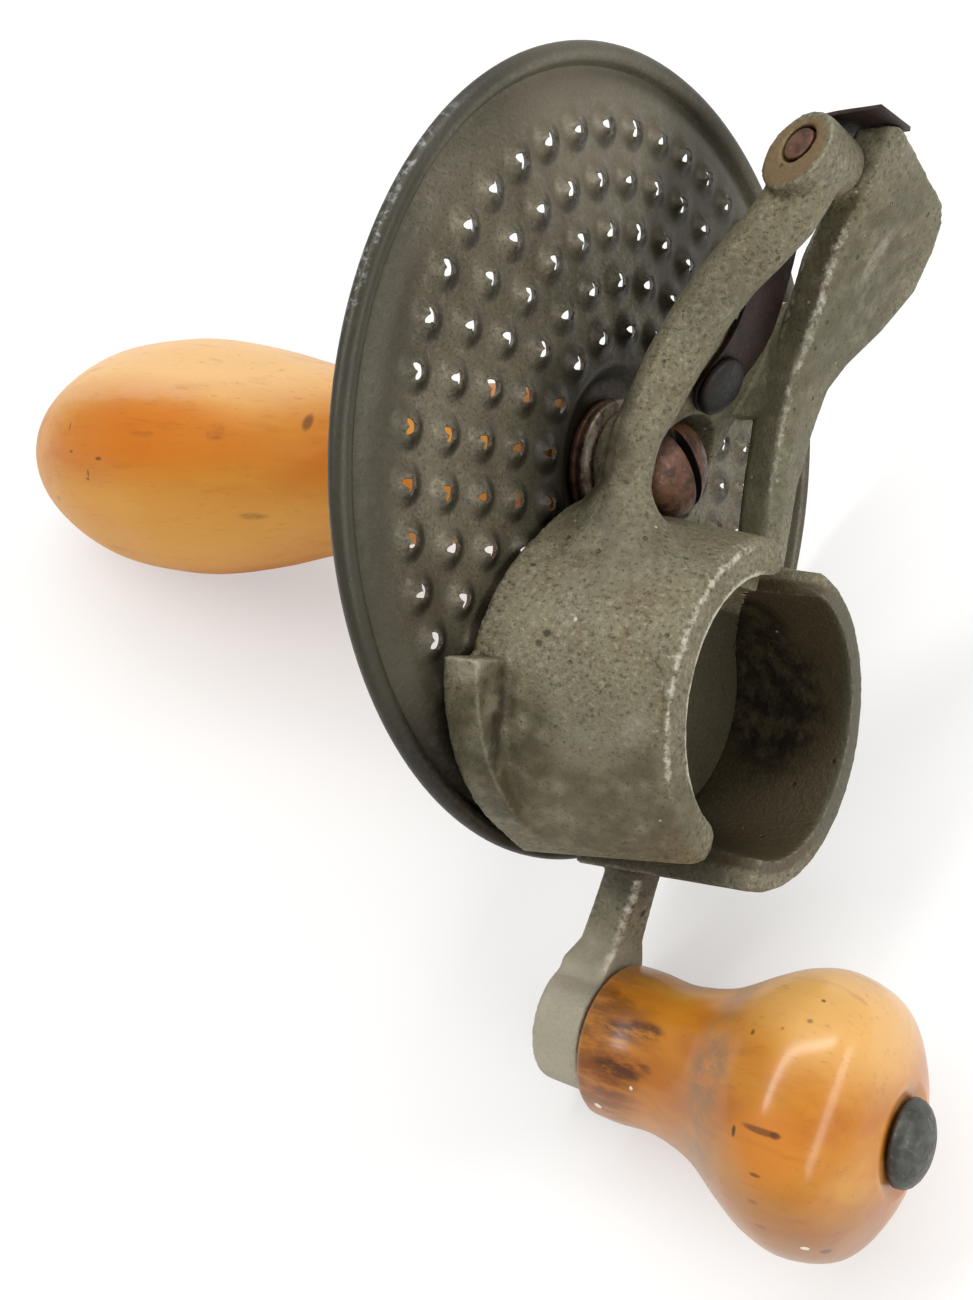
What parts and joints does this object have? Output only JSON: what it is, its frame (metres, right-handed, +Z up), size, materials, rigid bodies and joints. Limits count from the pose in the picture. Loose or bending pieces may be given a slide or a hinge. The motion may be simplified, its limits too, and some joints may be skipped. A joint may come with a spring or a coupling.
{
  "type": "mechanical nutmeg grater",
  "caption": "Hand nutmeg grater: a crank turns a cast frame with a sprung nutmeg cup over a round burred disc on a wooden handle.",
  "frame": {"origin": "bottom centre of the bounding box, in the plane of the table that the tool lies on", "axes": "+Z up from the table, +X along the tool from the handle's end towards the crank knob's side, +Y across it, towards the lever's pivot"},
  "size_m": [0.159, 0.1098, 0.0848],
  "materials": {
    "maple_wood": "turned maple, worn satin",
    "tinned_sheet": "dulled tin on sheet steel",
    "tinned_casting": "cast iron, dulled tin, fine sand-cast skin",
    "bright_iron": "worn bright, brown in the corners",
    "rusty_iron": "brown rust, rubbed smooth",
    "spring_steel": "dark oxide",
    "dark_rivet": "dark grey, satin",
    "varnished_wood": "turned wood, glossy varnish"
  },
  "bodies": {
    "stock": {"handle": "maple_wood", "grating_disc": "tinned_sheet", "rear_washer": "bright_iron", "collar_washer": "rusty_iron", "bright_washer": "bright_iron", "centre_screw": "rusty_iron"},
    "crank_frame": {"turning_frame": "tinned_casting", "leaf_spring": "spring_steel", "spring_rivet": "dark_rivet", "pivot_pin": "rusty_iron", "knob_rivet": "dark_rivet"},
    "lever": {"hopper_lever": "tinned_casting"},
    "knob": {"crank_knob": "varnished_wood"}
  },
  "joints": [
    {"name": "crank_turn", "type": "hinge", "parent": "stock", "child": "crank_frame", "pos_m": [0.02685, 0.01054, 0.04238], "axis": [0.9536, 0, 0.3009], "continuous": true},
    {"name": "lever_open", "type": "hinge", "parent": "crank_frame", "child": "lever", "pos_m": [0.04234, 0.03415, 0.06773], "axis": [-0.2411, -0.5986, 0.7639], "range_deg": [0, 40], "stiffness_Nm_per_rad": 0.25, "springref_deg": -17.19},
    {"name": "knob_spin", "type": "hinge", "parent": "crank_frame", "child": "knob", "pos_m": [0.05744, -0.04065, 0.01192], "axis": [0.9536, 0, 0.3009], "continuous": true}
  ]
}
